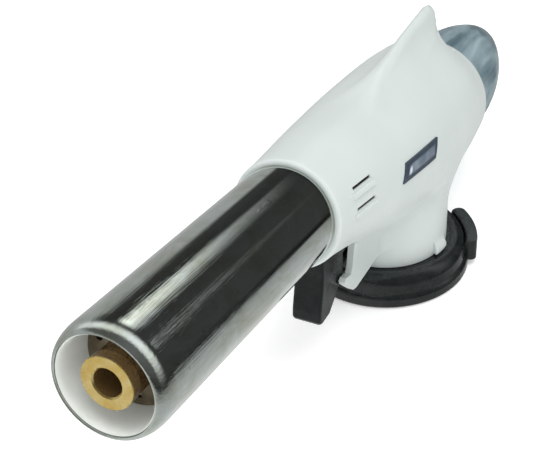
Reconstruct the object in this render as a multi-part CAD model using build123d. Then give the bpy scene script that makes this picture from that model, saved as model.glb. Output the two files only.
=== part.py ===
from build123d import *
import os
from math import cos, radians, sin

# Butane torch head, millimetres. +Z is up along the cartridge axis, +X points towards the muzzle and
# +Y is the side with the badge. The origin is the centre of the lock ring's resting face.

# Barrel line: it crosses the cartridge axis at this height and rises towards the muzzle.
barrel_height = 40.6
barrel_tilt = 8.0

# Flame tube and burner, as distances along the barrel line from the cartridge axis
mouth_at = 122.8
tube_radius = 11.0
tube_rear_radius = 10.75
tube_rear_end = 56.4
tube_step_thickness = 0.5
tube_wall = 0.5
tube_back = 34.2
lip_length = 4.4
mouth_radius = 9.5
disc_front = 114.1
disc_thickness = 0.8
disc_radius = 8.65
nozzle_front = 121.7
nozzle_radius = 4.97
nozzle_bore = 2.66
hex_across = 8.4
port_count = 6
port_pitch_radius = 6.7
port_radius = 0.62
port_first_angle = 39.0
mixing_radius = 3.6
mixing_bore = 3.05
mixing_back = 30.0
mixing_front = 111.6

# Body shells: circles along the barrel line as (distance, drop below the line, radius)
body_sections = [
    (56.1, 0.15, 12.18),
    (48.0, 0.65, 12.8),
    (36.0, 1.7, 14.25),
    (24.0, 3.05, 15.75),
    (12.0, 4.15, 16.95),
    (0.0, 4.65, 17.55),
    (-12.0, 4.45, 17.45),
    (-24.0, 4.1, 16.6),
    (-36.2, 7.2, 14.25),
]
wall = 1.8
collar_rounding = 0.85
neck_radius = 15.7
neck_bottom = 8.2
neck_lug_radius = 16.8
neck_lug_bottom = 8.7
neck_lug_top = 12.2
neck_lug_angle = 80.0
neck_lug_half_angle = 8.0

# Trigger web under the body
web_half_width = 5.4
web_gap_half_width = 3.9
web_fillet = 8.0
web_bottom = 14.0
web_floor_top = 15.5
web_floor_end = 29.5

# Fin on the body's back
fin_half_thickness = 1.7
fin_flank_depth = 2.0
fin_flank_draft = 70
fin_crest_rounding = 1.0
fin_crest_height = 58.3

# Air vents and badge, in barrel coordinates
vent_start = 40.9
vent_end = 48.6
vent_width = 0.75
vent_heights = [5.25, 0.9]
vent_lip_proud = 0.35
vent_lip_width = 0.9
vent_lip_overhang = 1.8
vent_lip_drop = 1.3
tube_slot_width = 1.6
tube_slot_length = 7.0
badge_start = 9.4
badge_end = 28.8
badge_low = -1.1
badge_high = 2.7
badge_front_lean = 2.4
badge_rear_lean = 3.1
badge_proud = 0.3
badge_depth = 0.5

# Gas valve and control knob share one level line through the rear rim's centre
spindle_height = 28.4
spindle_radius = 1.8
knob_radius = 13.42
knob_skirt_radius = 13.1
knob_round_start = 40.5
knob_nose_radius = 8.0
knob_end = 71.5
knob_front = 33.6
hub_radius = 5.0
bulkhead_front = 31.4
bulkhead_back = 33.0
flute_count = 12

# Base, lock ring and cartridge inlet
ring_radius = 21.6
ring_bore = 14.3
journal_radius = 14.25
skirt_inner = 20.5
ring_web_bottom = 4.6
ring_top = 8.0
tab_radius = 23.6
tab_bottom = 1.8
tab_height = 7.6
tab_from = 103.0
tab_to = 143.0
claw_count = 3
plate_screw_pitch = 11.6
plate_screw_angles = [30.0, 150.0, 270.0]

# Trigger and igniter
trigger_half_width = 3.5
trigger_back = 34.6
tongue_bottom = 25.8
tongue_top = 29.3
rail_half_width = 4.5
rail_bottom = 27.0
rail_top = 28.2
rail_clearance = 0.15
plunger_height = 20.5
plunger_radius = 2.2
igniter_front = 28.3
igniter_back = 11.5
igniter_half_width = 3.7
igniter_top = 25.0
electrode_side_angle = 279.0
running_gap = 0.05

# Shell screws as (x, z); their heads sit on the right shell
shell_screw_places = [(-22.0, 45.0), (-25.0, 21.5), (22.0, 32.8), (-12.6, 18.0)]
screw_head_depth = 8.0
screw_boss_radius = 2.9
screw_well_radius = 2.55
screw_clearance_radius = 1.25
screw_pilot_radius = 1.15
screw_shank_radius = 1.1
screw_head_radius = 2.3
screw_head_height = 1.6

barrel_forward = (cos(radians(barrel_tilt)), 0, sin(radians(barrel_tilt)))
BARREL = Plane(origin=(0, 0, barrel_height), x_dir=(0, 1, 0), z_dir=barrel_forward).location
REARWARD = Plane(origin=(0, 0, spindle_height), x_dir=(0, 1, 0), z_dir=(-1, 0, 0)).location


def profile_face(points):
    """A flat face through points given as (radius or x, height), standing in the XZ plane."""
    return Plane.XZ * make_face(Polyline(*points, close=True))


def turned(points):
    """A body of revolution about Z from points given as (radius, height)."""
    return revolve(profile_face(points), Axis.Z)


def rod(radius, start, end):
    """A cylinder along Z between two heights."""
    return Pos(0, 0, start) * Cylinder(radius, end - start, align=(Align.CENTER, Align.CENTER, Align.MIN))


def block(x_range, y_range, z_range):
    """A box given by its limits."""
    size = [high - low for low, high in (x_range, y_range, z_range)]
    centre = [(high + low) / 2 for low, high in (x_range, y_range, z_range)]
    return Pos(*centre) * Box(*size)


def hexagon(across_flats, start, end):
    """A hexagonal bar along Z with its flats facing local X."""
    outline = RegularPolygon(across_flats / 2, 6, major_radius=False)
    return Pos(0, 0, start) * extrude(Rot(0, 0, 30) * outline, amount=end - start)


def side_slab(points, half_width):
    """A slab whose side outline lies in the XZ plane, centred on Y."""
    return extrude(profile_face(points), amount=half_width, both=True)


def cross_rod(x, z, radius, y_start, y_end):
    """A cylinder along Y."""
    return Pos(x, y_start, z) * Rot(-90, 0, 0) * rod(radius, 0, y_end - y_start)


def barrel_point(distance, height=0.0, side=0.0):
    """World position of a point given along, above and beside the barrel line."""
    forward = cos(radians(barrel_tilt))
    rise = sin(radians(barrel_tilt))
    x = distance * forward - height * rise
    z = barrel_height + distance * rise + height * forward
    return (x, side, z)


# ---------------------------------------------------------------- body shells


def body_skin(offset):
    """The body's round outer form, grown or shrunk by an offset."""
    circles = []
    for distance, drop, radius in body_sections:
        circles.append(BARREL * Pos(0, -drop, distance) * Circle(radius + offset))
    return loft(circles)


def web_form():
    """The trigger web: it runs forward from the neck and ends in two small toes."""
    plan = Circle(neck_radius) + Pos(20, 0) * Rectangle(40, 2 * web_half_width)
    corners = [v for v in plan.vertices() if 0 < v.X < 30]
    plan = fillet(corners, web_fillet)
    column = Pos(0, 0, web_bottom) * extrude(plan, amount=24)
    outline = [
        (0, web_bottom),
        (31, web_bottom),
        (33.0, 14.6),
        (37.6, 19.2),
        (37.9, 20.2),
        (37.2, 20.8),
        (34.4, 19.9),
        (33.4, 21.6),
        (32.0, 29.3),
        (31.8, 38),
        (0, 38),
    ]
    return column & side_slab(outline, 20)


def fin_form():
    """The fin: a narrow crest with a rounded top, drafted flanks and a steep rear edge."""
    crest = [
        (14, 48.0),
        (13, 54.7),
        (6, 56.0),
        (1, 57.1),
        (-4, 57.9),
        (-10, fin_crest_height),
        (-23, fin_crest_height),
        (-26.6, 57.7),
        (-28.6, 56.2),
        (-30.4, 53.2),
        (-32.2, 49.4),
        (-33.6, 45.6),
        (-34.2, 42.0),
        (-34.2, 38.0),
        (0, 38.0),
    ]
    core = side_slab(crest, fin_half_thickness)
    rim = fin_half_thickness - 0.1
    top = core.edges().filter_by(lambda edge: edge.center().Z > 54 and abs(edge.center().Y) > rim)
    core = fillet(top, fin_crest_rounding)
    face = profile_face(crest)
    start = fin_half_thickness - fin_crest_rounding
    left = Pos(0, start, 0) * extrude(face, amount=-fin_flank_depth, taper=fin_flank_draft)
    right = Pos(0, -start, 0) * extrude(face, amount=fin_flank_depth, taper=fin_flank_draft)
    return core + left + right


def neck_lug():
    """A small lug at the foot of the neck, on the left, with its top sloping back into the neck."""
    outline = [
        (neck_radius - 1, neck_lug_bottom),
        (neck_lug_radius, neck_lug_bottom),
        (neck_lug_radius, neck_lug_top - 2.5),
        (neck_radius, neck_lug_top),
        (neck_radius - 1, neck_lug_top),
    ]
    sector = revolve(profile_face(outline), Axis.Z, 2 * neck_lug_half_angle)
    return Rot(0, 0, neck_lug_angle - neck_lug_half_angle) * sector


def outer_form():
    """Everything the two shells show from outside, as one solid."""
    skin = body_skin(0)
    front_face = skin.faces().filter_by(GeomType.PLANE).sort_by(Axis.X)[-1]
    skin = fillet(front_face.edges(), collar_rounding)
    neck = rod(neck_radius, neck_bottom, 36)
    return skin + neck + web_form() + fin_form() + neck_lug()


def tube_seat():
    """The bore that holds the flame tube's narrower rear."""
    return BARREL * rod(tube_rear_radius + 0.05, tube_back - 0.2, 70)


def body_cavity():
    """The hollow inside both shells, with a rib behind the tube and a wall in front of the knob."""
    rib = rod(30, 31.8, tube_back - 0.2) - rod(8.5, 31, 35)
    bulkhead = rod(30, bulkhead_front, bulkhead_back) - rod(hub_radius + 0.08, 31, 34)
    hollow = body_skin(-wall) - BARREL * rib - REARWARD * bulkhead
    knob_well = REARWARD * rod(knob_skirt_radius + 0.4, bulkhead_back, 45)
    neck_bore = rod(neck_radius - wall, 11.0, 30)
    flange_groove = rod(15.0, 9.2, 11.0)
    neck_mouth = rod(13.95, 0, 12)
    web_slot = block((5, 60), (-web_gap_half_width, web_gap_half_width), (web_floor_top, 31))
    web_opening = block((web_floor_end, 60), (-web_gap_half_width, web_gap_half_width), (5, 31))
    gap = rail_clearance
    rails = block(
        (17.6, 30.4),
        (-rail_half_width - gap, rail_half_width + gap),
        (rail_bottom - gap, rail_top + gap),
    )
    cavity = hollow + tube_seat() + knob_well + neck_bore + flange_groove + neck_mouth
    return cavity + web_slot + web_opening + rails


def trigger_opening():
    """The slot in the body's underside that the trigger comes out of, rounded at its front."""
    outline = Pos(40.2, 0) * Rectangle(13.6, 10) + Pos(47, 0) * Circle(5)
    travel_room = Pos(34, 0) * Rectangle(8, 2 * web_gap_half_width)
    return Pos(0, 0, 28) * extrude(outline + travel_room, amount=10)


def vent_boxes(width, length_extra, drop):
    """One box for each vent on both sides, in barrel coordinates."""
    boxes = []
    for height in vent_heights:
        for side in (-1, 1):
            boxes.append(
                BARREL
                * Pos(side * 14, height - drop, (vent_start + vent_end) / 2)
                * Box(8, width, vent_end - vent_start + length_extra)
            )
    return boxes


def screw_bosses(outer):
    """Columns through the body that the shell screws run in."""
    bosses = [cross_rod(x, z, screw_boss_radius, -30, 30) for x, z in shell_screw_places]
    return outer & (bosses[0] + bosses[1] + bosses[2] + bosses[3])


def screw_holes():
    """Head wells, clearance holes and pilot holes of the shell screws."""
    cuts = []
    for x, z in shell_screw_places:
        cuts.append(cross_rod(x, z, screw_well_radius, -30, -screw_head_depth))
        cuts.append(cross_rod(x, z, screw_clearance_radius, -screw_head_depth - 1, 0))
        cuts.append(cross_rod(x, z, screw_pilot_radius, -0.1, screw_head_depth))
    return cuts


def badge_prism(grow):
    """The badge's slanted outline, driven through the left wall."""
    outline = Polyline(
        (badge_low - grow, badge_start + badge_rear_lean - grow),
        (badge_low - grow, badge_end + grow),
        (badge_high + grow, badge_end - badge_front_lean + grow),
        (badge_high + grow, badge_start - grow),
        close=True,
    )
    face = Plane(origin=(8, 0, 0), x_dir=(0, 1, 0), z_dir=(1, 0, 0)) * make_face(outline)
    return BARREL * extrude(face, amount=14)


def badge_plate():
    return (badge_prism(0) & body_skin(badge_proud)) - body_skin(-badge_depth)


def body_shells():
    """Left and right shells, split on the middle plane."""
    outer = outer_form()
    lips = vent_boxes(vent_lip_width, vent_lip_overhang, vent_lip_drop)
    ridge = lips[0]
    for lip in lips[1:]:
        ridge = ridge + lip
    outer = outer + (ridge & body_skin(vent_lip_proud))
    shell = outer - body_cavity()
    shell = shell + (screw_bosses(outer) - tube_seat())
    shell = shell - trigger_opening()
    shell = shell - vent_boxes(vent_width, 0, 0)
    shell = shell - screw_holes()
    shell = shell - (badge_prism(0.08) - body_skin(-badge_depth))
    left = shell & block((-100, 150), (0, 60), (-10, 100))
    right = shell & block((-100, 150), (-60, 0), (-10, 100))
    return left, right


def shell_screws():
    """Four pan-head screws, put in from the right."""
    screws = []
    for x, z in shell_screw_places:
        head = cross_rod(x, z, screw_head_radius, -screw_head_depth - screw_head_height, -screw_head_depth)
        shank = cross_rod(x, z, screw_shank_radius, -screw_head_depth, screw_head_depth - 1)
        slot = cross_rod(x, z, 0.9, -screw_head_depth - 2, -screw_head_depth - 0.8)
        screws.append(head + shank - slot)
    return Compound(children=screws)


# ---------------------------------------------------------------- burner


def flame_tube():
    """A thin tube with a swaged rear, a lip that rolls in at the mouth, and air slots by the vents."""
    lip_base = mouth_at - lip_length
    inner_base = tube_radius - tube_wall
    inner_rear = tube_rear_radius - tube_wall
    inner_step = tube_rear_end + tube_step_thickness
    reach = tube_radius - mouth_radius
    outline = [
        Line((inner_rear, tube_back), (tube_rear_radius, tube_back)),
        Line((tube_rear_radius, tube_back), (tube_rear_radius, tube_rear_end)),
        Line((tube_rear_radius, tube_rear_end), (tube_radius, tube_rear_end)),
        Line((tube_radius, tube_rear_end), (tube_radius, lip_base)),
        EllipticalCenterArc((mouth_radius, lip_base), reach, lip_length),
        Line((mouth_radius, mouth_at), (mouth_radius, mouth_at - tube_wall)),
        EllipticalCenterArc((mouth_radius, lip_base), reach - tube_wall, lip_length - tube_wall),
        Line((inner_base, lip_base), (inner_base, inner_step)),
        Line((inner_base, inner_step), (inner_rear, inner_step)),
        Line((inner_rear, inner_step), (inner_rear, tube_back)),
    ]
    tube = revolve(Plane.XZ * make_face(outline), Axis.Z)
    slot = Pos(0, 0, (vent_start + vent_end) / 2) * Box(30, tube_slot_width, tube_slot_length)
    slots = [Pos(0, height - 0.3, 0) * slot for height in vent_heights]
    return BARREL * (tube - slots)


def ceramic_cup():
    """The white liner inside the mouth; its step holds the stabiliser disc."""
    back = disc_front - disc_thickness
    outline = [
        (7.95, 109.0),
        (10.35, 109.0),
        (10.35, 119.6),
        (10.2, 120.7),
        (10.0, 121.4),
        (9.75, 121.8),
        (9.55, 122.0),
        (9.4, 122.35),
        (9.25, 122.4),
        (9.1, 121.6),
        (9.0, 119.5),
        (8.8, 116.0),
        (8.72, disc_front),
        (8.72, back),
        (7.95, back),
    ]
    return BARREL * turned(outline)


def stabiliser_disc():
    """A flat ring with ports around the nozzle."""
    back = disc_front - disc_thickness
    disc = rod(disc_radius, back, disc_front) - rod(hex_across / 2 / cos(radians(30)) + 0.05, 0, 130)
    for index in range(port_count):
        angle = radians(port_first_angle + index * 360 / port_count)
        centre = Pos(port_pitch_radius * cos(angle), port_pitch_radius * sin(angle), 0)
        disc = disc - centre * rod(port_radius, 0, 130)
    return BARREL * disc


def burner_nozzle():
    """Brass nozzle: round head, hexagon through the disc, shoulder and shank."""
    back = disc_front - disc_thickness
    head = rod(nozzle_radius, nozzle_front - 2.2, nozzle_front)
    head = chamfer(head.edges().group_by(Axis.Z)[-1], 0.12)
    body = hexagon(hex_across, back, nozzle_front - 2.2)
    shoulder = rod(5.6, mixing_front + 0.02, back)
    shank = rod(mixing_bore - 0.02, 104, mixing_front + 0.02)
    bore = rod(nozzle_bore, nozzle_front - 5.5, nozzle_front + 1) + rod(2.1, 100, 120)
    relief = turned([(0, 121.45), (2.66, 121.45), (2.95, 121.71), (0, 121.71)])
    return BARREL * (head + body + shoulder + shank - bore - relief)


def mixing_tube():
    """Brass tube that mixes gas and air, with four air holes near its back."""
    tube = rod(mixing_radius, mixing_back, mixing_front) - rod(mixing_bore, 0, 130)
    for turn in (0, 90):
        tube = tube - Pos(0, 0, 39) * Rot(0, 90, turn) * Cylinder(1.2, 20)
        tube = tube - Pos(0, 0, 39) * Rot(turn, 0, 0) * Rot(90, 0, 0) * Cylinder(1.2, 20)
    return BARREL * tube


def tube_spider():
    """Perforated disc that centres the mixing tube in the flame tube."""
    disc = rod(10.4, 57.6, 58.8) - rod(mixing_radius + 0.03, 50, 60)
    for index in range(6):
        angle = radians(electrode_side_angle + index * 60)
        place = Pos(port_pitch_radius * 1.05 * cos(angle), port_pitch_radius * 1.05 * sin(angle), 0)
        disc = disc - place * rod(1.9, 50, 60)
    return BARREL * disc


def jet_holder():
    """Brass fitting from the valve block into the back of the mixing tube."""
    shank = rod(3.0, 7.0, 12.5)
    flange = hexagon(9.0, 12.5, 16.2)
    nose = rod(3.0, 16.2, 34.0)
    bore = rod(1.2, 0, 28.0) + rod(2.0, 28.0, 40)
    return BARREL * (shank + flange + nose - bore)


def gas_jet():
    """The metering jet, pressed in the holder's nose."""
    jet = turned([(0.2, 29.6), (1.97, 29.6), (1.97, 34.4), (1.2, 35.2), (0.2, 35.2)])
    return BARREL * jet


def jet_filter():
    """A sintered plug in the holder's bore."""
    return BARREL * rod(1.17, 21.0, 27.5)


# ---------------------------------------------------------------- gas valve


def valve_block():
    """Brass valve body: foot, column, rear boss for the spindle and front socket for the jet."""
    foot = rod(9.4, 4.4, 20.5) + rod(13.3, 11.0, 14.0)
    column = block((-8.5, 8.5), (-7.5, 7.5), (20.0, 42.0))
    rear_boss = REARWARD * rod(6.5, 0, 16.0)
    socket = BARREL * rod(6.3, -4.0, 12.5)
    body = foot + column + rear_boss + socket
    inlet = rod(1.5, 9.0, spindle_height)
    inlet_thread = rod(2.83, 0, 9.0)
    chamber = REARWARD * (rod(spindle_radius + 0.8, -1.5, 17) + rod(4.03, 11.0, 17))
    seat = REARWARD * rod(0.7, -5.5, 0)
    riser = Pos(5.5, 0, 0) * rod(1.5, spindle_height, 41.4)
    jet_socket = BARREL * rod(3.03, 4.5, 30)
    body = body - inlet - inlet_thread - chamber - seat - riser - jet_socket
    for angle in plate_screw_angles:
        body = body - screw_place(angle) * rod(1.13, 10, 13.4)
    return body


def needle_spindle():
    """Steel needle: cone tip, threaded collar, and a flatted shaft that slides in the knob's hub."""
    outline = [
        (0, -2.7),
        (0.1, -2.7),
        (1.02, -0.5),
        (1.6, -0.5),
        (1.6, 3.0),
        (spindle_radius + 0.75, 3.5),
        (spindle_radius + 0.75, 8.2),
        (spindle_radius, 8.9),
        (spindle_radius, 49.0),
        (0, 49.0),
    ]
    flat = block((-5, 5), (1.2, 5), (28.0, 60))
    return REARWARD * (turned(outline) - flat)


def spindle_seal():
    """Rubber ring round the spindle, under the gland nut."""
    return REARWARD * (rod(3.98, 11.1, 13.0) - rod(spindle_radius + running_gap, 10, 14))


def gland_nut():
    """Hexagonal nut that closes the spindle's chamber."""
    nut = rod(3.98, 13.1, 16.0) + hexagon(10.0, 16.0, 20.0)
    return REARWARD * (nut - rod(spindle_radius + running_gap, 10, 30))


def control_knob():
    """Bullet-shaped fluted knob; a flange on its hub is caught behind the body's rear wall."""
    nose_centre = knob_end - knob_nose_radius
    length = nose_centre - knob_round_start
    step = knob_radius - knob_nose_radius
    flank_radius = (length**2 + step**2) / (2 * step) + knob_nose_radius
    flank_centre = knob_radius - flank_radius
    reach = flank_radius / (flank_radius - knob_nose_radius)
    meeting = (flank_centre * (1 - reach), knob_round_start + length * reach)
    flank = RadiusArc((knob_radius, knob_round_start), meeting, -flank_radius)
    nose = RadiusArc(meeting, (0, knob_end), -knob_nose_radius)
    outline = [
        Line((0, 29.5), (7.0, 29.5)),
        Line((7.0, 29.5), (7.0, 31.2)),
        Line((7.0, 31.2), (hub_radius, 31.2)),
        Line((hub_radius, 31.2), (hub_radius, knob_front)),
        Line((hub_radius, knob_front), (knob_skirt_radius, knob_front)),
        Line((knob_skirt_radius, knob_front), (knob_skirt_radius, 37.3)),
        Line((knob_skirt_radius, 37.3), (knob_radius, 37.5)),
        Line((knob_radius, 37.5), (knob_radius, knob_round_start)),
        flank,
        nose,
        Line((0, knob_end), (0, 29.5)),
    ]
    knob = revolve(Plane.XZ * make_face(outline), Axis.Z)
    hollow = turned(
        [(6.4, knob_front - 0.1), (11.2, knob_front - 0.1), (11.2, 44), (9.6, 54), (6.4, 58)]
    )
    bore = rod(spindle_radius + running_gap, 20, 53) - block((-5, 5), (1.2 + 0.04, 5), (20, 60))
    knob = knob - hollow - bore
    reach = knob_radius + 4.2
    for index in range(flute_count):
        angle = radians((index + 0.5) * 360 / flute_count)
        groove = Pos(reach * cos(angle), reach * sin(angle), 0) * rod(4.7, 39.5, 90)
        knob = knob - groove
    return REARWARD * knob


# ---------------------------------------------------------------- base and cartridge lock


def screw_place(angle):
    return Pos(
        plate_screw_pitch * cos(radians(angle)), plate_screw_pitch * sin(radians(angle)), 0
    )


def base_plate():
    """Journal that the lock ring turns on; its flange is gripped by the shells."""
    plate = rod(journal_radius, 4.4, 8.1) + rod(13.85, 8.0, 9.3) + rod(14.9, 9.3, 10.9)
    plate = plate - rod(9.45, 0, 20)
    for angle in plate_screw_angles:
        plate = plate - screw_place(angle) * rod(1.3, 0, 20)
    return plate


def retainer_plate():
    """Steel washer that keeps the lock ring on its journal."""
    plate = rod(15.5, 3.5, 4.4) - rod(8.4, 0, 10)
    for angle in plate_screw_angles:
        plate = plate - screw_place(angle) * rod(1.3, 0, 20)
    return plate


def retainer_screws():
    """Three pan-head screws from the retainer into the valve block's foot."""
    screws = []
    for angle in plate_screw_angles:
        screw = rod(2.2, 2.1, 3.5) + rod(1.1, 3.5, 13.0) - rod(0.8, 0, 2.9)
        screws.append(screw_place(angle) * screw)
    return Compound(children=screws)


def lock_ring():
    """Black ring with a skirt over the cartridge collar, a rounded shoulder and a thumb tab."""
    shoulder = [
        Line((ring_bore, ring_web_bottom), (ring_bore, ring_top)),
        Line((ring_bore, ring_top), (16.6, ring_top)),
        ThreePointArc((16.6, ring_top), (18.9, 8.1), (20.6, 5.6)),
        Line((20.6, 5.6), (20.8, 3.6)),
        ThreePointArc((20.8, 3.6), (21.35, 3.1), (ring_radius, 2.4)),
        Line((ring_radius, 2.4), (ring_radius, 0.5)),
        Line((ring_radius, 0.5), (ring_radius - 0.5, 0)),
        Line((ring_radius - 0.5, 0), (skirt_inner, 0)),
        Line((skirt_inner, 0), (skirt_inner, ring_web_bottom)),
        Line((skirt_inner, ring_web_bottom), (ring_bore, ring_web_bottom)),
    ]
    ring = revolve(Plane.XZ * make_face(shoulder), Axis.Z)
    middle = (tab_from + tab_to) / 2
    half = radians((tab_to - tab_from) / 2)
    wedge = Polyline(
        (0, 0), (40 * cos(half), -40 * sin(half)), (40 * cos(half), 40 * sin(half)), close=True
    )
    band = (Circle(tab_radius) - Circle(skirt_inner + 0.1)) & make_face(wedge)
    outer_corners = band.vertices().sort_by(Axis.X)
    outer_corners = [v for v in outer_corners if v.X ** 2 + v.Y ** 2 > (tab_radius - 0.5) ** 2]
    band = fillet(outer_corners, 1.6)
    tab = Pos(0, 0, tab_bottom) * Rot(0, 0, middle) * extrude(band, amount=tab_height - tab_bottom)
    top_edges = tab.edges().group_by(Axis.Z)[-1]
    tab = fillet(top_edges.filter_by(GeomType.CIRCLE).sort_by(SortBy.LENGTH)[-1], 0.9)
    return ring + tab


def claw_plate():
    """Stamped steel ring under the lock ring, with three hooks for the cartridge collar."""
    plate = rod(20.0, 3.8, 4.6) - rod(15.9, 0, 10)
    for index in range(claw_count):
        turn = Rot(0, 0, index * 360 / claw_count + 75)
        leg = block((16.0, 16.9), (-3.2, 3.2), (1.1, 3.9))
        foot = block((16.0, 18.4), (-3.2, 3.2), (1.1, 1.9))
        plate = plate + turn * (leg + foot)
        plate = plate - turn * (Rot(0, 0, 60) * Pos(18.2, 0, 0) * rod(0.9, 0, 10))
    return plate


def claw_rivets():
    """Three rivets that hold the hook plate under the lock ring."""
    rivets = []
    for index in range(claw_count):
        rivet = rod(1.5, 3.1, 3.8) + rod(0.88, 3.8, 4.6)
        rivets.append(Rot(0, 0, index * 120 + 135) * Pos(18.2, 0, 0) * rivet)
    return Compound(children=rivets)


def inlet_stem():
    """Brass stem that presses the cartridge's valve open."""
    stem = rod(4.2, 3.0, 4.4) + rod(2.8, 4.4, 8.8) + rod(2.0, 0.4, 3.0)
    return stem - rod(0.7, 0, 10)


def inlet_seal():
    """Rubber washer round the stem."""
    return rod(4.0, 1.6, 3.0) - rod(2.02, 0, 5)


# ---------------------------------------------------------------- trigger and igniter


def trigger():
    """Trigger with a hollowed finger face, a rear tongue and two guide rails."""
    outline = [
        (47.0, 14.0),
        (47.5, 14.8),
        (47.3, 17.0),
        (46.6, 20.0),
        (45.9, 23.0),
        (45.5, 26.0),
        (45.4, 29.0),
        (45.4, 33.6),
        (37.2, 33.6),
        (37.2, tongue_top),
        (24.2, tongue_top),
        (24.2, tongue_bottom),
        (trigger_back, tongue_bottom),
        (trigger_back, 18.4),
        (37.4, 18.0),
        (39.6, 15.9),
        (42.2, 14.0),
    ]
    body = side_slab(outline, trigger_half_width)
    upright = body.edges().filter_by(lambda e: e.center().X > 45.3 and abs(e.center().Y) > 3.4)
    body = fillet(upright, 0.8)
    rails = block((24.2, 30.0), (-rail_half_width, rail_half_width), (rail_bottom, rail_top))
    return body + rails


def igniter_plunger():
    """The piezo unit's plunger, pushed by the trigger."""
    axis = Plane(origin=(0, 0, plunger_height), x_dir=(0, 1, 0), z_dir=(1, 0, 0)).location
    return axis * rod(plunger_radius, 22.0, trigger_back)


def igniter_body():
    """Piezo unit with the bore that its plunger and spring work in."""
    axis = Plane(origin=(0, 0, plunger_height), x_dir=(0, 1, 0), z_dir=(1, 0, 0)).location
    case = block(
        (igniter_back, igniter_front),
        (-igniter_half_width, igniter_half_width),
        (web_floor_top, igniter_top),
    )
    case = fillet(case.edges().filter_by(Axis.X), 0.8)
    return case - axis * rod(plunger_radius + running_gap, 12.5, 30)


def return_spring():
    """Coil spring behind the plunger."""
    axis = Plane(origin=(0, 0, plunger_height), x_dir=(0, 1, 0), z_dir=(1, 0, 0)).location
    wire = 0.22
    turns = 6
    length = 9.0
    coil = Helix(pitch=length / turns, height=length, radius=1.75)
    section = Plane(origin=coil @ 0, z_dir=coil % 0) * Circle(wire)
    return axis * Pos(0, 0, 12.75) * sweep(section, path=coil)


def electrode_line(start, end, radius):
    """A straight rod beside the mixing tube, on the electrode's line."""
    angle = radians(electrode_side_angle)
    side = port_pitch_radius * cos(angle)
    height = port_pitch_radius * sin(angle)
    return BARREL * Pos(side, height, 0) * rod(radius, start, end)


def spark_electrode():
    return electrode_line(62.0, 113.7, 0.4)


def electrode_insulator():
    return electrode_line(64.0, 112.0, 1.15) - electrode_line(60, 120, 0.42)


def ignition_lead():
    """Insulated lead from the piezo unit up to the electrode."""
    angle = radians(electrode_side_angle)
    side = port_pitch_radius * cos(angle)
    height = port_pitch_radius * sin(angle)
    far = Vector(*barrel_point(62.0, height, side))
    forward = Vector(*barrel_forward)
    corner_x = 14.5
    reach = (far.X - corner_x) / forward.X
    corner = far - forward * reach
    path = FilletPolyline(
        far, corner, Vector(corner_x, side, igniter_top), radius=3.0
    )
    section = Plane(origin=path @ 0, z_dir=path % 0) * Circle(0.85)
    return sweep(section, path=path)


def build_parts():
    left_shell, right_shell = body_shells()
    return {
        "left_shell": left_shell,
        "right_shell": right_shell,
        "shell_screws": shell_screws(),
        "badge_plate": badge_plate(),
        "flame_tube": flame_tube(),
        "ceramic_cup": ceramic_cup(),
        "stabiliser_disc": stabiliser_disc(),
        "burner_nozzle": burner_nozzle(),
        "mixing_tube": mixing_tube(),
        "tube_spider": tube_spider(),
        "jet_holder": jet_holder(),
        "gas_jet": gas_jet(),
        "jet_filter": jet_filter(),
        "valve_block": valve_block(),
        "needle_spindle": needle_spindle(),
        "spindle_seal": spindle_seal(),
        "gland_nut": gland_nut(),
        "control_knob": control_knob(),
        "base_plate": base_plate(),
        "retainer_plate": retainer_plate(),
        "retainer_screws": retainer_screws(),
        "lock_ring": lock_ring(),
        "claw_plate": claw_plate(),
        "claw_rivets": claw_rivets(),
        "inlet_stem": inlet_stem(),
        "inlet_seal": inlet_seal(),
        "trigger": trigger(),
        "igniter_plunger": igniter_plunger(),
        "igniter_body": igniter_body(),
        "return_spring": return_spring(),
        "spark_electrode": spark_electrode(),
        "electrode_insulator": electrode_insulator(),
        "ignition_lead": ignition_lead(),
    }


os.makedirs("parts", exist_ok=True)
for name, shape in build_parts().items():
    export_step(shape, f"parts/{name}.step")
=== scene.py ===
from math import cos, pi, radians, sin

import bmesh
import bpy
from mathutils import Matrix, Vector


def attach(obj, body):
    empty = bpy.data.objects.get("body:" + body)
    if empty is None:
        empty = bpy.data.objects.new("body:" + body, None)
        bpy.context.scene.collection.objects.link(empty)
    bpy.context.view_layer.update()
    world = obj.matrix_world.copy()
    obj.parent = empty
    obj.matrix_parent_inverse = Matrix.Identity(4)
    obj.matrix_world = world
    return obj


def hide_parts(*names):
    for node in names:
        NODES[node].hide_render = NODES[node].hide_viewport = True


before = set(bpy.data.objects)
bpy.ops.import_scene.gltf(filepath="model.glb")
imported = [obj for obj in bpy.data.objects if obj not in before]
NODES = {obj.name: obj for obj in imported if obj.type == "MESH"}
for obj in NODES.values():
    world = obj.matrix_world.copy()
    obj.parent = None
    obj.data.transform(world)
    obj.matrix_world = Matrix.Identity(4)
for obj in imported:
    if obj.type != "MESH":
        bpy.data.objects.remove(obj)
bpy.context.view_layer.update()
MM = 0.001

# The barrel line: it crosses the cartridge axis (x = y = 0) and rises towards the muzzle.
BARREL_TILT = radians(8.0)
BARREL_HEIGHT = 40.6
BARREL_ALONG = Vector((cos(BARREL_TILT), 0.0, sin(BARREL_TILT)))
BARREL_UP = Vector((-sin(BARREL_TILT), 0.0, cos(BARREL_TILT)))
BARREL_SIDE = Vector((0.0, 1.0, 0.0))
BARREL_START = Vector((0.0, 0.0, BARREL_HEIGHT * MM))


# ---------------------------------------------------------------- camera

CAMERA_LENS = 78.14
CAMERA_PLACE = Vector((232.52, 89.15, 185.66)) * MM
CAMERA_RIGHT = Vector((-0.4368, 0.8988, -0.0359)).normalized()
CAMERA_FORWARD = Vector((-0.7261, -0.3759, -0.5757))


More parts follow.
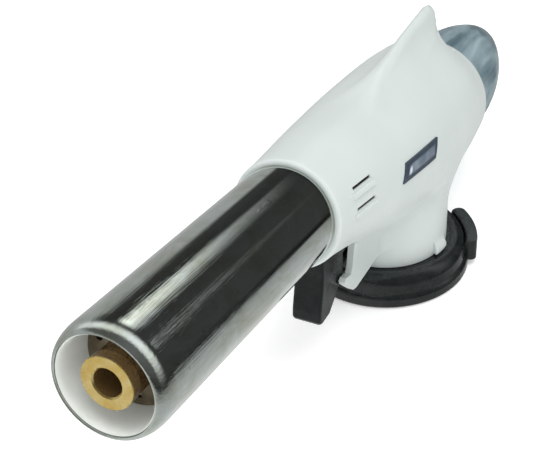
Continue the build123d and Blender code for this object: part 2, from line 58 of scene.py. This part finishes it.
def make_camera():
    """A short telephoto, close to the muzzle, above it and on the badge side."""
    data = bpy.data.cameras.new("camera")
    data.sensor_width = 36.0
    data.lens = CAMERA_LENS
    data.clip_start = 0.01
    data.clip_end = 20.0
    camera = bpy.data.objects.new("camera", data)
    bpy.context.scene.collection.objects.link(camera)
    forward = (CAMERA_FORWARD - CAMERA_RIGHT * CAMERA_FORWARD.dot(CAMERA_RIGHT)).normalized()
    up = CAMERA_RIGHT.cross(forward)
    place = Matrix((CAMERA_RIGHT, up, -forward)).transposed().to_4x4()
    place.translation = CAMERA_PLACE
    camera.matrix_world = place
    bpy.context.scene.camera = camera


# ---------------------------------------------------------------- node helpers


class NodeTree:
    """The nodes of one material or world: it makes them, links them and sets their sockets."""

    def __init__(self, tree):
        self.tree = tree
        tree.nodes.clear()

    def node(self, kind, **settings):
        made = self.tree.nodes.new(kind)
        for key, value in settings.items():
            setattr(made, key, value)
        return made

    def link(self, start, end):
        self.tree.links.new(start, end)

    def feed(self, socket, value):
        if isinstance(value, bpy.types.NodeSocket):
            self.link(value, socket)
        else:
            socket.default_value = value

    def math(self, operation, first, second=0.0):
        made = self.node("ShaderNodeMath", operation=operation)
        for socket, value in zip(made.inputs, (first, second)):
            self.feed(socket, value)
        return made.outputs[0]

    def dot(self, vector, axis):
        """The part of a vector that lies along an axis."""
        made = self.node("ShaderNodeVectorMath", operation="DOT_PRODUCT")
        self.link(vector, made.inputs[0])
        made.inputs[1].default_value = axis
        return made.outputs["Value"]

    def ramp(self, value, *stops):
        """Stops are (position, grey or colour)."""
        made = self.node("ShaderNodeValToRGB")
        self.link(value, made.inputs["Fac"])
        elements = made.color_ramp.elements
        while len(elements) > 1:
            elements.remove(elements[-1])
        for index, (position, colour) in enumerate(stops):
            if isinstance(colour, (int, float)):
                colour = (colour, colour, colour)
            element = elements[0] if index == 0 else elements.new(position)
            element.position = position
            element.color = (*colour, 1.0)
        return made.outputs["Color"]

    def mix(self, factor, first, second, blend="MIX"):
        made = self.node("ShaderNodeMix", data_type="RGBA", blend_type=blend)
        self.feed(made.inputs[0], factor)
        for socket, value in ((made.inputs[6], first), (made.inputs[7], second)):
            if isinstance(value, tuple):
                value = (*value, 1.0)
            self.feed(socket, value)
        return made.outputs[2]


class Shader(NodeTree):
    """A material under construction."""

    def __init__(self, name):
        self.material = bpy.data.materials.new(name)
        self.material.use_nodes = True
        super().__init__(self.material.node_tree)
        self.bsdf = self.node("ShaderNodeBsdfPrincipled")
        output = self.node("ShaderNodeOutputMaterial")
        self.link(self.bsdf.outputs["BSDF"], output.inputs["Surface"])
        self.place = self.node("ShaderNodeTexCoord").outputs["Object"]

    def set(self, **sockets):
        for key, value in sockets.items():
            self.feed(self.bsdf.inputs[key.replace("_", " ")], value)

    def stretched(self, scale, turn=(0.0, 0.0, 0.0)):
        mapping = self.node("ShaderNodeMapping")
        self.link(self.place, mapping.inputs["Vector"])
        mapping.inputs["Scale"].default_value = scale
        mapping.inputs["Rotation"].default_value = turn
        return mapping.outputs["Vector"]

    def noise(self, scale, detail=3.0, roughness=0.5, vector=None, distortion=0.0):
        made = self.node("ShaderNodeTexNoise")
        self.link(vector or self.place, made.inputs["Vector"])
        made.inputs["Scale"].default_value = scale
        made.inputs["Detail"].default_value = detail
        made.inputs["Roughness"].default_value = roughness
        made.inputs["Distortion"].default_value = distortion
        return made.outputs["Fac"]

    def varied(self, scale, detail, low, high):
        """A grey or colour that wanders between two values."""
        return self.ramp(self.noise(scale, detail), (0.3, low), (0.7, high))

    def bump(self, height, distance, strength=1.0, normal=None):
        made = self.node("ShaderNodeBump")
        made.inputs["Strength"].default_value = strength
        made.inputs["Distance"].default_value = distance
        self.link(height, made.inputs["Height"])
        if normal:
            self.link(normal, made.inputs["Normal"])
        return made.outputs["Normal"]

    def barrel_axes(self):
        """Distance along, height above and side of the barrel line, in metres."""
        shifted = self.node("ShaderNodeVectorMath", operation="SUBTRACT")
        self.link(self.place, shifted.inputs[0])
        shifted.inputs[1].default_value = BARREL_START
        return [self.dot(shifted.outputs[0], axis) for axis in (BARREL_ALONG, BARREL_UP, BARREL_SIDE)]

    def drawn_vector(self, lengthwise, crosswise):
        """Coordinates stretched along the barrel, for lines that run down a drawn tube."""
        scales = (lengthwise, crosswise, crosswise)
        combined = self.node("ShaderNodeCombineXYZ")
        for socket, value, scale in zip(combined.inputs, self.barrel_axes(), scales):
            self.link(self.math("MULTIPLY", value, scale), socket)
        return combined.outputs["Vector"]

    def rising(self, value, start, width):
        """0 below a start, then a straight climb to 1 over a width."""
        passed = self.math("MULTIPLY", self.math("SUBTRACT", value, start), 1 / width)
        return self.ramp(passed, (0.0, 0.0), (1.0, 1.0))

    def falling(self, value, end, width):
        """1 up to a width before an end, then a straight drop to 0."""
        left = self.math("MULTIPLY", self.math("SUBTRACT", end, value), 1 / width)
        return self.ramp(left, (0.0, 0.0), (1.0, 1.0))

    def between(self, value, low, high, soft):
        """1 between low and high, 0 outside them, fading over a soft distance on each side of both."""
        rise = self.rising(value, low - soft, 2 * soft)
        return self.math("MULTIPLY", rise, self.falling(value, high + soft, 2 * soft))


def give(material, *names):
    for name in names:
        slots = NODES[name].data.materials
        slots.clear()
        slots.append(material)


# ---------------------------------------------------------------- materials


def simple_material(name, tone, roughness, grain=None, metallic=0.0):
    """Tone and roughness are (noise scale, detail, low, high); grain is (scale, detail, depth, strength)."""
    s = Shader(name)
    s.set(Base_Color=s.varied(*tone), Roughness=s.varied(*roughness), Metallic=metallic)
    if grain:
        scale, detail, depth, strength = grain
        s.set(Normal=s.bump(s.noise(scale, detail), depth, strength))
    return s


def ceramic():
    return simple_material(
        "ceramic",
        tone=(260.0, 4.0, (0.80, 0.84, 0.79), (0.87, 0.90, 0.86)),
        roughness=(900.0, 3.0, 0.45, 0.6),
        grain=(4200.0, 2.0, 0.00001, 0.3),
    ).material


def burnt_steel():
    return simple_material(
        "burnt_steel",
        tone=(420.0, 4.0, (0.15, 0.12, 0.08), (0.26, 0.215, 0.155)),
        roughness=(1500.0, 3.0, 0.32, 0.5),
        grain=(3500.0, 2.0, 0.00001, 0.3),
        metallic=0.85,
    ).material


def valve_brass():
    return simple_material(
        "valve_brass",
        tone=(300.0, 4.0, (0.60, 0.44, 0.20), (0.74, 0.57, 0.30)),
        roughness=(1500.0, 3.0, 0.26, 0.42),
        grain=(1200.0, 3.0, 0.00002, 0.3),
        metallic=1.0,
    ).material


def zinc_steel():
    return simple_material(
        "zinc_steel",
        tone=(500.0, 4.0, (0.48, 0.49, 0.50), (0.63, 0.64, 0.64)),
        roughness=(1800.0, 3.0, 0.28, 0.45),
        grain=(2500.0, 2.0, 0.00001, 0.3),
        metallic=1.0,
    ).material


def seal_rubber():
    return simple_material(
        "seal_rubber",
        tone=(900.0, 3.0, (0.012, 0.012, 0.013), (0.03, 0.03, 0.03)),
        roughness=(2200.0, 2.0, 0.6, 0.8),
        grain=(3500.0, 2.0, 0.00002, 0.3),
    ).material


def lead_sleeve():
    return simple_material(
        "lead_sleeve",
        tone=(900.0, 3.0, (0.30, 0.02, 0.012), (0.42, 0.035, 0.02)),
        roughness=(1500.0, 2.0, 0.3, 0.45),
    ).material


def black_plastic(name, gloss):
    """Moulded black plastic; gloss is its refractive index, 1.5 when clean and less when dulled."""
    s = simple_material(
        name,
        tone=(350.0, 3.0, (0.008, 0.010, 0.010), (0.015, 0.018, 0.018)),
        roughness=(260.0, 4.0, 0.17, 0.32),
        grain=(2600.0, 2.0, 0.00001, 0.25),
    )
    s.set(IOR=gloss)
    return s.material


def knob_plastic():
    s = Shader("knob_plastic")
    streaks = s.noise(1.0, 3.0, 0.5, s.stretched((30.0, 210.0, 210.0)), 0.4)
    s.set(Base_Color=s.ramp(streaks, (0.34, (0.085, 0.135, 0.160)), (0.66, (0.31, 0.41, 0.44))))
    s.set(Roughness=s.varied(700.0, 3.0, 0.30, 0.42))
    s.set(Normal=s.bump(s.noise(2400.0, 2.0), 0.00002, 0.3))
    return s.material


# Where the side vents are, and the round skin there, in metres
VENT_START = 0.0400
VENT_END = 0.0498
VENT_MIDDLE = 0.045
SKIN_RADIUS_AT_VENTS = 0.01316
SKIN_DROP_AT_VENTS = 0.0009
SKIN_DROP_LOSS = 0.0875
SKIN_RADIUS_LOSS = 0.121
# How far into the vents the painted shade starts, and how softly it fades in
VENT_PAINTED_SHADE_DEPTH = 0.00026
VENT_PAINTED_SHADE_WIDTH = 0.00025


def painted_vent_shade(s):
    """1 on the walls inside the vents, where near-black shade is painted on; 0 on the rest of the shell."""
    along, up, side = s.barrel_axes()
    from_vents = s.math("SUBTRACT", along, VENT_MIDDLE)
    centred = s.math("SUBTRACT", s.math("ADD", up, SKIN_DROP_AT_VENTS),
                     s.math("MULTIPLY", from_vents, SKIN_DROP_LOSS))
    squares = s.math("ADD", s.math("MULTIPLY", centred, centred), s.math("MULTIPLY", side, side))
    reach = s.math("ADD", s.math("SQRT", squares), s.math("MULTIPLY", from_vents, SKIN_RADIUS_LOSS))
    deep = s.falling(reach, SKIN_RADIUS_AT_VENTS - VENT_PAINTED_SHADE_DEPTH, VENT_PAINTED_SHADE_WIDTH)
    past_start = s.math("GREATER_THAN", along, VENT_START)
    vented = s.math("MULTIPLY", past_start, s.math("LESS_THAN", along, VENT_END))
    return s.math("MULTIPLY", deep, vented)


def white_shell():
    s = Shader("white_abs")
    tone = s.varied(55.0, 2.0, (0.575, 0.632, 0.615), (0.61, 0.662, 0.645))
    specks = s.ramp(s.noise(5200.0, 1.0), (0.70, 0.0), (0.76, 1.0))
    tone = s.mix(s.math("MULTIPLY", specks, 0.05), tone, (0.5, 0.53, 0.52))
    # The vent walls are painted near-black: painted shade, where the vents look dark
    s.set(Base_Color=s.mix(painted_vent_shade(s), tone, (0.03, 0.03, 0.026)))
    s.set(Roughness=s.varied(420.0, 4.0, 0.30, 0.40))
    s.set(Normal=s.bump(s.noise(1900.0, 2.0), 0.00002, 0.25))
    s.set(IOR=1.5, Subsurface_Weight=0.08, Subsurface_Radius=(0.002, 0.002, 0.002), Subsurface_Scale=0.6)
    return s.material


def bright_steel():
    """Drawn steel: lines down the tube that fade towards its polished rear, stains, specks and scratches, and
    painted shade where it runs inside the body.
    """
    s = Shader("bright_steel")
    along = s.barrel_axes()[0]
    clouds = s.noise(1.0, 4.0, 0.6, s.drawn_vector(90.0, 150.0), 0.6)
    stains = s.ramp(clouds, (0.42, 0.0), (0.66, 1.0))
    tone = s.mix(stains, (0.66, 0.72, 0.69), (0.52, 0.56, 0.48))
    specks = s.ramp(s.noise(900.0, 2.0), (0.70, 0.0), (0.76, 0.5))
    tone = s.mix(specks, tone, (0.36, 0.36, 0.30))
    # Inside the body the tube is painted near-black: painted shade where the shell covers it
    out_of_painted_shade = s.ramp(along, (0.0545, 0.0), (0.0555, 1.0))
    s.set(Base_Color=s.mix(out_of_painted_shade, (0.05, 0.045, 0.035), tone))
    s.set(Metallic=1.0)
    s.set(Roughness=s.ramp(clouds, (0.3, 0.05), (0.7, 0.11)))
    worn = s.ramp(along, (0.070, 0.12), (0.112, 1.0))
    lines = s.noise(1.0, 3.0, 0.55, s.drawn_vector(90.0, 3600.0))
    fine_lines = s.noise(1.0, 2.0, 0.5, s.drawn_vector(500.0, 9000.0))
    drawn = s.bump(s.math("MULTIPLY", lines, worn), 0.00005, 0.7)
    drawn = s.bump(s.math("MULTIPLY", fine_lines, worn), 0.000012, 0.5, drawn)
    slanted = s.stretched((60.0, 500.0, 900.0), (0.4, 0.9, 0.3))
    scratches = s.ramp(s.noise(1.0, 1.0, 0.5, slanted), (0.735, 0.0), (0.75, 1.0))
    s.set(Normal=s.bump(scratches, 0.00002, 0.4, drawn))
    return s.material


def nozzle_brass():
    """A bright turned face; the flanks and the bore are browned by heat."""
    s = Shader("nozzle_brass")
    facing = s.dot(s.node("ShaderNodeTexCoord").outputs["Normal"], BARREL_ALONG)
    turned_face = s.ramp(facing, (0.35, 0.0), (0.6, 1.0))
    bright = s.varied(500.0, 4.0, (0.78, 0.55, 0.15), (0.93, 0.74, 0.32))
    heated = s.varied(160.0, 2.0, (0.15, 0.085, 0.03), (0.22, 0.135, 0.05))
    s.set(Base_Color=s.mix(turned_face, heated, bright))
    s.set(Metallic=s.ramp(turned_face, (0.0, 0.45), (1.0, 1.0)))
    s.set(Roughness=s.varied(1200.0, 2.0, 0.24, 0.34))
    s.set(Normal=s.bump(s.noise(900.0, 2.0), 0.000005, 0.1))
    return s.material


BADGE_LEAN = 0.63  # how far the badge's ends lean forward for each unit of height


def badge_print():
    """A dark frame round a paler band, with a light spot at the band's front end."""
    s = Shader("badge_print")
    along, up, _ = s.barrel_axes()
    leaning = s.math("ADD", along, s.math("MULTIPLY", up, BADGE_LEAN))
    band_length = s.between(leaning, 0.0128, 0.0262, 0.0003)
    band = s.math("MULTIPLY", band_length, s.between(up, -0.0001, 0.0018, 0.0002))
    spot_length = s.between(leaning, 0.0248, 0.0260, 0.0003)
    spot = s.math("MULTIPLY", spot_length, s.between(up, 0.0001, 0.0013, 0.0003))
    frame_tone = s.varied(1200.0, 3.0, (0.030, 0.045, 0.066), (0.048, 0.068, 0.092))
    band_tone = s.ramp(s.noise(220.0, 1.0), (0.35, (0.12, 0.155, 0.20)), (0.65, (0.22, 0.265, 0.32)))
    s.set(Base_Color=s.mix(spot, s.mix(band, frame_tone, band_tone), (0.62, 0.68, 0.74)))
    s.set(Roughness=s.varied(900.0, 2.0, 0.3, 0.42))
    return s.material


def dress_frame():
    plastic = white_shell()
    give(plastic, "left_shell", "right_shell")
    for name in ("left_shell", "right_shell"):
        rounded_shell(name).data.materials.append(plastic)
    give(bright_steel(), "flame_tube")
    give(ceramic(), "ceramic_cup", "electrode_insulator")
    give(burnt_steel(), "stabiliser_disc")
    give(nozzle_brass(), "burner_nozzle")
    give(valve_brass(), "mixing_tube", "jet_holder", "gas_jet", "jet_filter", "valve_block", "gland_nut",
         "inlet_stem")
    give(zinc_steel(), "shell_screws", "tube_spider", "needle_spindle", "retainer_plate", "retainer_screws",
         "claw_plate", "claw_rivets", "return_spring", "spark_electrode")
    give(seal_rubber(), "spindle_seal", "inlet_seal")
    give(knob_plastic(), "control_knob")
    give(black_plastic("black_plastic", 1.5), "base_plate", "lock_ring", "igniter_plunger", "igniter_body")
    give(black_plastic("trigger_plastic", 1.32), "trigger")
    give(badge_print(), "badge_plate")
    give(lead_sleeve(), "ignition_lead")


# ---------------------------------------------------------------- body shells

# The shells' outside, in millimetres. The round body is (distance along the barrel line, drop below it,
# radius), and the fin's crest is (x, z).
BODY_SECTIONS = (
    (-36.2, 7.2, 14.25),
    (-24.0, 4.1, 16.6),
    (-12.0, 4.45, 17.45),
    (0.0, 4.65, 17.55),
    (12.0, 4.15, 16.95),
    (24.0, 3.05, 15.75),
    (36.0, 1.7, 14.25),
    (48.0, 0.65, 12.8),
    (56.1, 0.15, 12.18),
)
NECK_RADIUS = 15.7
WEB_HALF_WIDTH = 5.4
WEB_FRONT = 31.9
FIN_CREST = (
    (-34.4, 44.0), (-33.8, 46.2), (-32.6, 49.8), (-31.2, 53.6), (-30.2, 57.0), (-28.6, 58.9), (-26.0, 59.5),
    (-22.0, 59.4), (-10.0, 58.9), (-4.0, 58.0), (1.0, 57.1), (6.0, 56.0), (11.0, 54.7), (17.0, 52.6),
    (24.0, 49.8), (34.0, 45.5),
)
FIN_TOP_HALF_WIDTH = 0.9
FIN_HALF_WIDTH = 3.0
FIN_FLANK_HEIGHT = 7.0
FORM_TOP = 38.0  # the neck and the web are below this height, the fin is above it

# How widely two forms are blended where they meet
WEB_BLEND = 4.0
NECK_BLEND = 5.0
FIN_BLEND = 6.0
FIN_CREST_BLEND = 2.0
NECK_FADE = 0.6
NECK_FADE_FROM = 29.0

# Which part of a shell is remade, and how finely
FINE_EDGE = 0.9
SUBDIVISION_ROUNDS = 6
NEAR_SKIN = 1.5
ON_SKIN = 0.15
LEAST_ROUNDING = 0.004
FULL_ROUNDING = 0.06
FIN_ZONE = 47.0
CREST_ZONE = 54.5
CREST_ZONE_FRONT = 6.0
SHARP_EDGE = radians(32)
SMOOTH_SKIN = 0.3
SMOOTH_SKIN_SPAN = (-35.5, 55.0)


def curve_through(rows, column):
    """A natural cubic through one column of a table, as a function of its first column."""
    xs = [row[0] for row in rows]
    ys = [row[column] for row in rows]
    last = len(xs) - 1
    second = [0.0] * (last + 1)
    spare = [0.0] * (last + 1)
    for i in range(1, last):
        share = (xs[i] - xs[i - 1]) / (xs[i + 1] - xs[i - 1])
        pivot = share * second[i - 1] + 2
        second[i] = (share - 1) / pivot
        slope = (ys[i + 1] - ys[i]) / (xs[i + 1] - xs[i]) - (ys[i] - ys[i - 1]) / (xs[i] - xs[i - 1])
        spare[i] = (6 * slope / (xs[i + 1] - xs[i - 1]) - share * spare[i - 1]) / pivot
    for i in range(last - 1, -1, -1):
        second[i] = second[i] * second[i + 1] + spare[i]

    def at(x):
        i = 0
        while i < last - 1 and x > xs[i + 1]:
            i += 1
        width = xs[i + 1] - xs[i]
        a = (xs[i + 1] - x) / width
        b = 1 - a
        bend = ((a**3 - a) * second[i] + (b**3 - b) * second[i + 1]) * width**2 / 6
        return a * ys[i] + b * ys[i + 1] + bend

    return at


body_drop = curve_through(BODY_SECTIONS, 1)
body_radius = curve_through(BODY_SECTIONS, 2)


def depth_below(rows, x, z):
    """Distance from a point in the side view to a crest line: positive below it."""
    nearest = None
    for (x0, z0), (x1, z1) in zip(rows, rows[1:]):
        dx = x1 - x0
        dz = z1 - z0
        share = ((x - x0) * dx + (z - z0) * dz) / (dx * dx + dz * dz)
        share = max(0.0, min(1.0, share))
        away_x = x - x0 - share * dx
        away_z = z - z0 - share * dz
        gap = away_x * away_x + away_z * away_z
        if nearest is None or gap < nearest[0]:
            nearest = (gap, dx * away_z - dz * away_x)
    return nearest[0] ** 0.5 if nearest[1] < 0 else -nearest[0] ** 0.5


def join(first, second, width):
    """The smaller of two distances, rounded where they are nearly the same."""
    overlap = max(width - abs(first - second), 0.0)
    return min(first, second) - overlap * overlap / (4 * width)


def along_barrel(x, z):
    """Distance of a point along the barrel line and its height above it."""
    z_up = z - BARREL_HEIGHT
    return x * BARREL_ALONG.x + z_up * BARREL_ALONG.z, x * BARREL_UP.x + z_up * BARREL_UP.z


def body_distance(x, y, z):
    along, up = along_barrel(x, z)
    return (y * y + (up + body_drop(along)) ** 2) ** 0.5 - body_radius(along)


def neck_distance(x, y, z):
    """The round neck and, in front of it, the web behind the trigger; it fades out inside the body."""
    neck = (x * x + y * y) ** 0.5 - NECK_RADIUS
    if x > 0:
        neck = join(neck, max(abs(y) - WEB_HALF_WIDTH, x - WEB_FRONT), WEB_BLEND)
    return neck + NECK_FADE * max(0.0, z - NECK_FADE_FROM)


def fin_distance(x, y, z):
    """The fin: narrow along its crest and wider down its flanks."""
    below = depth_below(FIN_CREST, x, z)
    flank = max(0.0, min(below / FIN_FLANK_HEIGHT, 1.0))
    half = FIN_TOP_HALF_WIDTH + flank * (FIN_HALF_WIDTH - FIN_TOP_HALF_WIDTH)
    return -join(half - abs(y), below, FIN_CREST_BLEND)


def skin_field(x, y, z):
    """Distance to the body's outside: first with sharp joins between its forms, then with blended ones."""
    body = body_distance(x, y, z)
    if z < FORM_TOP:
        form = neck_distance(x, y, z)
        return min(body, form), join(body, form, NECK_BLEND)
    form = fin_distance(x, y, z)
    return min(body, form), join(body, form, FIN_BLEND)


def skin_normal(x, y, z):
    """The blended skin's outward direction."""
    step = 0.05
    around = []
    for axis in range(3):
        ahead = [x, y, z]
        behind = [x, y, z]
        ahead[axis] += step
        behind[axis] -= step
        around.append(skin_field(*ahead)[1] - skin_field(*behind)[1])
    return Vector(around).normalized()


def needs_rounding(point):
    """True near the skin where forms are blended, and along the fin's crest."""
    hard, smooth = skin_field(*point)
    on_crest = point.z > CREST_ZONE and point.x < CREST_ZONE_FRONT
    return abs(hard) < NEAR_SKIN and (hard - smooth > LEAST_ROUNDING or on_crest)


def on_rounded_skin(point):
    """The point moved onto the blended skin, by a share that grows from 0 where the blend starts."""
    hard, smooth = skin_field(*point)
    if point.z > FIN_ZONE:
        for _ in range(2):
            point = point - skin_normal(*point) * skin_field(*point)[1]
        return point
    if abs(hard) > ON_SKIN:
        return point
    share = min(1.0, (hard - smooth) / FULL_ROUNDING)
    return point - skin_normal(*point) * (smooth * share + (smooth - hard) * (1 - share))


def refine(mesh):
    """Splits the edges of a mesh where it needs rounding, until they are short."""
    for _ in range(SUBDIVISION_ROUNDS):
        long_edges = []
        for edge in mesh.edges:
            if edge.calc_length() < FINE_EDGE * MM:
                continue
            start, end = (vertex.co / MM for vertex in edge.verts)
            if any(needs_rounding(start.lerp(end, share)) for share in (0.2, 0.5, 0.8)):
                long_edges.append(edge)
        if not long_edges:
            break
        bmesh.ops.subdivide_edges(mesh, edges=long_edges, cuts=1)
        bmesh.ops.triangulate(mesh, faces=[face for face in mesh.faces if len(face.verts) > 3])


def settle(mesh):
    """Moves the refined part of a mesh onto the blended skin and keeps the middle seam in its plane."""
    for vertex in mesh.verts:
        point = vertex.co / MM
        if not needs_rounding(point):
            continue
        in_middle = abs(point.y) < 0.001
        point = on_rounded_skin(point)
        if in_middle:
            point.y = 0.0
        vertex.co = point * MM


def smooth_normals(data):
    """Takes the normals of the outside from the blended skin, and leaves all others as they are."""
    first, last = SMOOTH_SKIN_SPAN
    skin = {}
    for vertex in data.vertices:
        point = vertex.co / MM
        along = along_barrel(point.x, point.z)[0]
        if abs(skin_field(*point)[1]) < SMOOTH_SKIN and first < along < last:
            skin[vertex.index] = skin_normal(*point)
    normals = [Vector(normal.vector) for normal in data.corner_normals]
    for face in data.polygons:
        for corner in face.loop_indices:
            wanted = skin.get(data.loops[corner].vertex_index)
            if wanted is not None and face.normal.dot(wanted) > 0.9:
                normals[corner] = wanted
    data.normals_split_custom_set(normals)


def rounded_shell(name):
    """A body shell with its fin, neck and web blended into the round body."""
    mesh = bmesh.new()
    mesh.from_mesh(NODES[name].data)
    bmesh.ops.remove_doubles(mesh, verts=mesh.verts, dist=0.002 * MM)
    refine(mesh)
    settle(mesh)
    mesh.normal_update()
    for edge in mesh.edges:
        edge.smooth = len(edge.link_faces) == 2 and edge.calc_face_angle(0.0) < SHARP_EDGE
    for face in mesh.faces:
        face.smooth = True
    data = bpy.data.meshes.new(name + "_rounded")
    mesh.to_mesh(data)
    mesh.free()
    smooth_normals(data)
    piece = bpy.data.objects.new(name + "_rounded", data)
    bpy.context.scene.collection.objects.link(piece)
    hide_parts(name)
    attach(piece, "torch_body")
    return piece


# ---------------------------------------------------------------- studio

STRIP_POWER = 2.0
THIN_STRIP_SHARE = 0.22


def at(degrees):
    """Angle around the barrel as a ramp position: 0 is straight up, 90 the badge side, -180 and 180 down."""
    return degrees / 360 + 0.5


def light_tent(world, place):
    """What a mirror sees all round: pale walls with dark flags above and on the badge side."""
    return world.ramp(
        place,
        (0.0, 0.72),
        (at(-150), 0.66),
        (at(-120), 0.52),
        (at(-100), 0.42),
        (at(-62), 0.42),
        (at(-55), 0.05),
        (at(-22), 0.03),
        (at(30), 0.045),
        (at(98), 0.05),
        (at(104), 0.012),
        (at(109), 0.012),
        (at(113), 0.34),
        (at(135), 0.48),
        (at(160), 0.55),
        (1.0, 0.72),
    )


def strip_lamps(world, place, forward):
    """Two strips that shine along the tube, and an arc that shines in its rolled mouth."""
    main_strip = world.ramp(place, (at(-23), 0.0), (at(-19), 1.0), (at(-8), 0.8), (at(0), 0.45), (at(8), 0.0))
    thin_strip = world.ramp(place, (at(41), 0.0), (at(43.5), 1.0), (at(46.5), 1.0), (at(49), 0.0))
    level = world.math("ADD", world.math("MULTIPLY", forward, 0.5), 0.5)
    reach = world.ramp(level, (0.09, 0.0), (0.115, 0.22), (0.15, 1.0), (0.20, 1.0), (0.225, 0.0))
    strips = world.math("ADD", main_strip, world.math("MULTIPLY", thin_strip, THIN_STRIP_SHARE))
    strips = world.math("MULTIPLY", world.math("MULTIPLY", strips, reach), STRIP_POWER)
    arc_side = world.ramp(place, (at(-80), 0.0), (at(-45), 1.0), (at(50), 1.0), (at(100), 0.0))
    arc_reach = world.ramp(level, (0.26, 0.0), (0.32, 1.0), (0.42, 1.0), (0.5, 0.1))
    return world.math("ADD", strips, world.math("MULTIPLY", arc_side, arc_reach))


def background(world, colour, strength):
    made = world.node("ShaderNodeBackground")
    world.feed(made.inputs["Color"], colour)
    made.inputs["Strength"].default_value = strength
    return made.outputs[0]


def switched(world, ray, usual, special):
    """A background that is special for one kind of ray."""
    made = world.node("ShaderNodeMixShader")
    world.link(ray, made.inputs[0])
    world.link(usual, made.inputs[1])
    world.link(special, made.inputs[2])
    return made.outputs[0]


def studio_world():
    """White to the eye; a light tent with strip lamps and dark flags to mirrors; soft grey to the rest."""
    data = bpy.data.worlds.new("studio")
    data.use_nodes = True
    bpy.context.scene.world = data
    world = NodeTree(data.node_tree)
    direction = world.node("ShaderNodeTexCoord").outputs["Generated"]
    turn = world.math("ARCTAN2", world.dot(direction, BARREL_SIDE), world.dot(direction, BARREL_UP))
    place = world.math("ADD", world.math("DIVIDE", turn, 2 * pi), 0.5)
    strips = strip_lamps(world, place, world.dot(direction, BARREL_ALONG))
    tent_and_lamps = world.mix(1.0, light_tent(world, place), strips, "ADD")
    height = world.math("ADD", world.math("MULTIPLY", world.dot(direction, Vector((0, 0, 1))), 0.5), 0.5)
    soft_grey = world.ramp(height, (0.3, 0.55), (0.6, 0.75), (1.0, 1.0))
    rays = world.node("ShaderNodeLightPath").outputs
    result = background(world, soft_grey, 0.8)
    result = switched(world, rays["Is Glossy Ray"], result, background(world, tent_and_lamps, 1.0))
    result = switched(world, rays["Is Camera Ray"], result, background(world, (1.0, 1.0, 1.0, 1.0), 1.0))
    world.link(result, world.node("ShaderNodeOutputWorld").inputs["Surface"])


def area_light(name, place, target, size, power):
    data = bpy.data.lights.new(name, "AREA")
    data.shape = "RECTANGLE"
    data.size = size
    data.size_y = size
    data.energy = power
    light = bpy.data.objects.new(name, data)
    light.location = place
    light.rotation_euler = (Vector(target) - Vector(place)).to_track_quat("-Z", "Y").to_euler()
    light.visible_glossy = False
    bpy.context.scene.collection.objects.link(light)


def white_floor():
    bpy.ops.mesh.primitive_plane_add(size=4.0, location=(0.0, 0.0, -0.05 * MM))
    floor = bpy.context.object
    floor.name = "floor"
    s = Shader("white_floor")
    s.set(Base_Color=s.varied(3.0, 2.0, 0.88, 0.9), Roughness=0.9)
    s.set(Emission_Color=(1.0, 1.0, 1.0, 1.0), Emission_Strength=0.35)
    floor.data.materials.append(s.material)
    floor.visible_glossy = False


def light_stage():
    scene = bpy.context.scene
    scene.view_settings.view_transform = "Standard"
    scene.view_settings.look = "None"
    studio_world()
    white_floor()
    area_light("top_softbox", place=(0.1, 0.15, 0.8), target=(0.02, 0.0, 0.04), size=0.6, power=4.0)
    area_light("mouth_light", place=(0.30, 0.05, 0.14), target=(0.118, -0.002, 0.056), size=0.10, power=0.13)


make_camera()
dress_frame()
light_stage()
